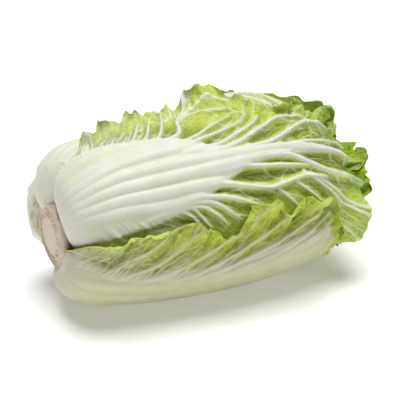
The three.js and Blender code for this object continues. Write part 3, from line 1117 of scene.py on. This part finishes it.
def stem_object(material):
    """The cut face, the terraces of old leaf scars round it and the cone inside the head."""
    turn = np.radians(np.linspace(0.0, 360.0, STEM_SIDES, endpoint=False)[None, :])
    x, radius = stem_outline()
    flat = radius * np.cos(turn), radius * np.sin(turn)
    on_face = smooth(radius, FACE_RADIUS + 0.5, FACE_RADIUS - 1.0)
    on_scars = smooth(radius, FACE_RADIUS - 1.0, FACE_RADIUS + 1.0)
    wander = noise(*flat, 9.0, 41)
    terrace = (radius + 1.6 * wander) / TERRACE_WIDTH
    step = terrace - np.floor(terrace)
    relief = on_face * (0.35 * noise(*flat, 5.0, 42) + 0.25 * wander)
    relief = relief + on_scars * (TERRACE_HEIGHT * smooth(step, 0.0, 0.25) - TERRACE_HEIGHT * step)
    relief = relief + on_scars * 0.5 * noise(*flat, 3.0, 43)

    x = x - relief * (1.0 - smooth(x, SCAR_AT, SCAR_AT + 5.0))
    radius = radius * (1.0 + 0.03 * on_scars * wander)

    lip = np.exp(-(((radius + 1.2 * wander - FACE_RADIUS) / 1.3) ** 2))
    patches = smooth(noise(*flat, 7.0, 44), -0.5, 0.6)
    scar = on_scars * (0.05 + 0.3 * patches + 0.35 * smooth(step, 0.3, 0.0)) + 0.55 * lip
    scar = np.clip(scar, 0, 1)
    bundles = np.clip(smooth(radius, 13.0, 17.5) * smooth(radius, 25.0, 21.0), 0, 1)
    rings = leaned(np.stack((x, -radius * np.cos(turn), radius * np.sin(turn)), axis=-1))
    ends = leaned(np.array([[FACE_AT, 0.0, 0.0], [STEM_END + TIP_POINT, 0.0, 0.0]]))
    tints = {
        name: np.concatenate(((values + 0 * turn).ravel(), np.zeros(len(ends))))
        for name, values in (("scar", scar), ("bundles", bundles))
    }
    points = np.concatenate((rings.reshape(-1, 3), ends))
    piece = mesh_object("core_stem_cut", points, *tube_faces(len(rings), STEM_SIDES), tints)
    piece.data.materials.append(material)
    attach(piece, "root")
    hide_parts("core_stem")
    return piece


# ---------------------------------------------------------------- settings and operators


def colour_setting(name, description, default):
    return FloatVectorProperty(
        name=name, description=description, subtype="COLOR", size=3, min=0.0, max=1.0, default=default,
    )


def length_setting(name, description, default):
    return FloatProperty(
        name=name, description=description, unit="LENGTH", subtype="DISTANCE", precision=4,
        min=0.0, default=default * MM,
    )


def angle_setting(name, description, default):
    return FloatProperty(
        name=name, description=description, unit="ROTATION", subtype="ANGLE",
        default=math.radians(default),
    )


class NapaLeafSettings(bpy.types.PropertyGroup):
    """Sizes and colours that all the leaves share."""

    blade: length_setting("Blade", "Thickness of a leaf's blade", 0.8)
    rib: length_setting("Rib", "Extra thickness of the rib at a leaf's base", 5.0)
    hollow: length_setting("Hollows", "How deep the blade lies between the cords", 3.8)
    crinkle: length_setting("Crinkle", "Height of the small crinkles in the blade", 1.1)
    frill: length_setting("Frill", "How far the frilled margin swings out", 3.4)
    rib_colour: colour_setting("Rib", "Colour of ribs and veins", (0.86, 0.86, 0.78))
    blade_colour: colour_setting("Blade", "Colour of the light blade", (0.67, 0.81, 0.03))
    # Painted shade: this olive darkens the sunken blade, the pleat troughs and the wrinkle troughs.
    hollow_colour: colour_setting("Hollows", "Colour deep between the cords", (0.28, 0.36, 0.0))
    lush_colour: colour_setting("Frills", "Colour of the green frills", (0.29, 0.50, 0.0))
    heart_colour: colour_setting("Heart", "Colour of the inner blades", (0.74, 0.76, 0.18))
    # Painted shade: the darker rib colour of the lowest leaves, which lie in shade near the floor.
    shaded_rib_colour: colour_setting("Old rib", "Colour of the lowest leaves' ribs", (0.66, 0.64, 0.49))
    foot_colour: colour_setting("Foot", "Colour of a leaf's worn foot", (0.50, 0.36, 0.19))


class NapaStemSettings(bpy.types.PropertyGroup):
    """Colours of the cut stem."""

    face_colour: colour_setting("Cut face", "Colour of the cut face", (0.88, 0.79, 0.63))
    scar_colour: colour_setting("Scars", "Colour of the dried leaf scars", (0.60, 0.42, 0.20))
    bundle_colour: colour_setting("Bundles", "Colour of the fibre bundles", (0.30, 0.16, 0.05))


class NapaStageSettings(bpy.types.PropertyGroup):
    """Camera, light and floor."""

    turn: angle_setting("Turn", "Camera's angle round the head", -22)
    tilt: angle_setting("Tilt", "Camera's angle above the floor", 25)
    distance: length_setting("Distance", "From the camera to the head's middle", 1000.0)
    lens: FloatProperty(name="Lens", description="Focal length in millimetres", min=20.0, default=100.0)
    aim: length_setting("Aim", "How far along the head the camera looks", 142.0)
    sun: FloatProperty(name="Sun", description="Strength of the soft light from above", default=3.2)
    softness: angle_setting("Softness", "How wide the soft light from above is", 40)
    light_x: angle_setting("Light X", "Turn of the soft light round the X axis", -2)
    light_y: angle_setting("Light Y", "Turn of the soft light round the Y axis", 4)
    sky: FloatProperty(name="Sky", description="Strength of the light from all round", default=0.08)
    glow: FloatProperty(name="Glow", description="Strength of the floor's own glow", default=0.24)
    floor: length_setting("Floor", "Width of the floor", 9000.0)
    floor_colour: colour_setting("Floor", "Colour of the floor", (0.90, 0.90, 0.90))


def leaf_sizes(look):
    """The settings' lengths in millimetres."""
    return {name: getattr(look, name) / MM for name in ("blade", "rib", "hollow", "crinkle", "frill")}


def leaf_skin(name, look, *parts):
    """A leaf's material, given which colours its rib, blade, hollows and frills take."""
    return leaf_material(name, *(tuple(getattr(look, part + "_colour")) for part in (*parts, "foot")))


class NAPA_OT_wrapper_leaves(bpy.types.Operator):
    """Grow the five outer leaves, each with its own ribs, veins and frills"""

    bl_idname = "napa.wrapper_leaves"
    bl_label = "Wrapper Leaves"

    def execute(self, context):
        look = context.scene.napa_leaves
        young = leaf_skin("wrapper_leaf_skin", look, "rib", "blade", "hollow", "lush")
        # Painted shade: the lowest leaves get a copy of the skin with the darker rib colour.
        old = leaf_skin("lowest_leaf_skin", look, "shaded_rib", "blade", "hollow", "lush")
        for plan in wrapper_plans():
            leaf_object(plan, leaf_sizes(look), old if plan.is_low else young)
        return {"FINISHED"}


class NAPA_OT_head_leaves(bpy.types.Operator):
    """Grow the nested leaves under the wrappers"""

    bl_idname = "napa.head_leaves"
    bl_label = "Head Leaves"

    def execute(self, context):
        look = context.scene.napa_leaves
        skin = leaf_skin("head_leaf_skin", look, "rib", "blade", "hollow", "lush")
        for plan in head_plans():
            leaf_object(plan, leaf_sizes(look), skin)
        return {"FINISHED"}


class NAPA_OT_heart_leaves(bpy.types.Operator):
    """Grow the small pale leaves of the heart"""

    bl_idname = "napa.heart_leaves"
    bl_label = "Heart Leaves"

    def execute(self, context):
        look = context.scene.napa_leaves
        skin = leaf_skin("heart_leaf_skin", look, "rib", "heart", "blade", "blade")
        sizes = leaf_sizes(look)
        sizes["hollow"] *= 0.3
        sizes["rib"] *= 0.4
        for plan in heart_plans():
            leaf_object(plan, sizes, skin)
        return {"FINISHED"}


class NAPA_OT_cut_stem(bpy.types.Operator):
    """Turn the cut stem with its leaf scars"""

    bl_idname = "napa.cut_stem"
    bl_label = "Cut Stem"

    def execute(self, context):
        look = context.scene.napa_stem
        stem_object(stem_material(
            "cut_stem_skin", tuple(look.face_colour), tuple(look.scar_colour), tuple(look.bundle_colour),
        ))
        return {"FINISHED"}


class NAPA_OT_stage(bpy.types.Operator):
    """Lay the pale floor and set the soft light and the camera"""

    bl_idname = "napa.stage"
    bl_label = "Stage"

    def execute(self, context):
        scene = context.scene
        stage = scene.napa_stage
        half = stage.floor / 2
        corners = [(-half, -half, 0), (half, -half, 0), (half, half, 0), (-half, half, 0)]
        mesh = bpy.data.meshes.new("floor")
        mesh.from_pydata(corners, [], [(0, 1, 2, 3)])
        floor = bpy.data.objects.new("floor", mesh)
        scene.collection.objects.link(floor)
        paint = bpy.data.materials.new("floor_paint")
        paint.use_nodes = True
        shader = paint.node_tree.nodes["Principled BSDF"]
        shader.inputs["Base Color"].default_value = (*stage.floor_colour, 1.0)
        shader.inputs["Roughness"].default_value = 0.9
        shader.inputs["Specular IOR Level"].default_value = 0.0
        shader.inputs["Emission Color"].default_value = (1.0, 1.0, 1.0, 1.0)
        shader.inputs["Emission Strength"].default_value = stage.glow
        mesh.materials.append(paint)

        world = bpy.data.worlds.new("studio")
        world.use_nodes = True
        world.node_tree.nodes["Background"].inputs["Color"].default_value = (1.0, 1.0, 1.0, 1.0)
        world.node_tree.nodes["Background"].inputs["Strength"].default_value = stage.sky
        scene.world = world
        sun = bpy.data.lights.new("softbox", "SUN")
        sun.energy = stage.sun
        sun.angle = stage.softness
        lamp = bpy.data.objects.new("softbox", sun)
        lamp.rotation_euler = (stage.light_x, stage.light_y, 0.0)
        scene.collection.objects.link(lamp)

        camera = bpy.data.objects.new("camera", bpy.data.cameras.new("camera"))
        camera.data.lens = stage.lens
        camera.data.clip_end = 30.0
        aim = Vector((HEAD_PLACE[0] * MM + stage.aim, HEAD_PLACE[1] * MM, HEAD_PLACE[2] * MM))
        back = Vector((
            math.sin(stage.turn) * math.cos(stage.tilt),
            -math.cos(stage.turn) * math.cos(stage.tilt),
            math.sin(stage.tilt),
        ))
        camera.location = aim + back * stage.distance
        camera.rotation_euler = back.to_track_quat("Z", "Y").to_euler()
        scene.collection.objects.link(camera)
        scene.camera = camera
        scene.view_settings.view_transform = "Standard"
        return {"FINISHED"}


class NAPA_PT_panel(bpy.types.Panel):
    """Lists the pieces of the cabbage"""

    bl_idname = "NAPA_PT_panel"
    bl_label = "Napa Cabbage"
    bl_space_type = "VIEW_3D"
    bl_region_type = "UI"
    bl_category = "Napa Cabbage"

    def draw(self, context):
        for operator in OPERATORS:
            self.layout.operator(operator.bl_idname)
        for settings in (context.scene.napa_leaves, context.scene.napa_stem, context.scene.napa_stage):
            box = self.layout.box()
            for name in settings.__annotations__:
                box.prop(settings, name)


OPERATORS = (
    NAPA_OT_stage,
    NAPA_OT_cut_stem,
    NAPA_OT_heart_leaves,
    NAPA_OT_head_leaves,
    NAPA_OT_wrapper_leaves,
)
CLASSES = (NapaLeafSettings, NapaStemSettings, NapaStageSettings, *OPERATORS, NAPA_PT_panel)


def register():
    for kind in CLASSES:
        bpy.utils.register_class(kind)
    bpy.types.Scene.napa_leaves = PointerProperty(type=NapaLeafSettings)
    bpy.types.Scene.napa_stem = PointerProperty(type=NapaStemSettings)
    bpy.types.Scene.napa_stage = PointerProperty(type=NapaStageSettings)


def unregister():
    del bpy.types.Scene.napa_leaves
    del bpy.types.Scene.napa_stem
    del bpy.types.Scene.napa_stage
    for kind in reversed(CLASSES):
        bpy.utils.unregister_class(kind)


def main():
    register()
    bpy.ops.napa.stage()
    bpy.ops.napa.cut_stem()
    bpy.ops.napa.heart_leaves()
    bpy.ops.napa.head_leaves()
    bpy.ops.napa.wrapper_leaves()


if __name__ == "__main__":
    main()
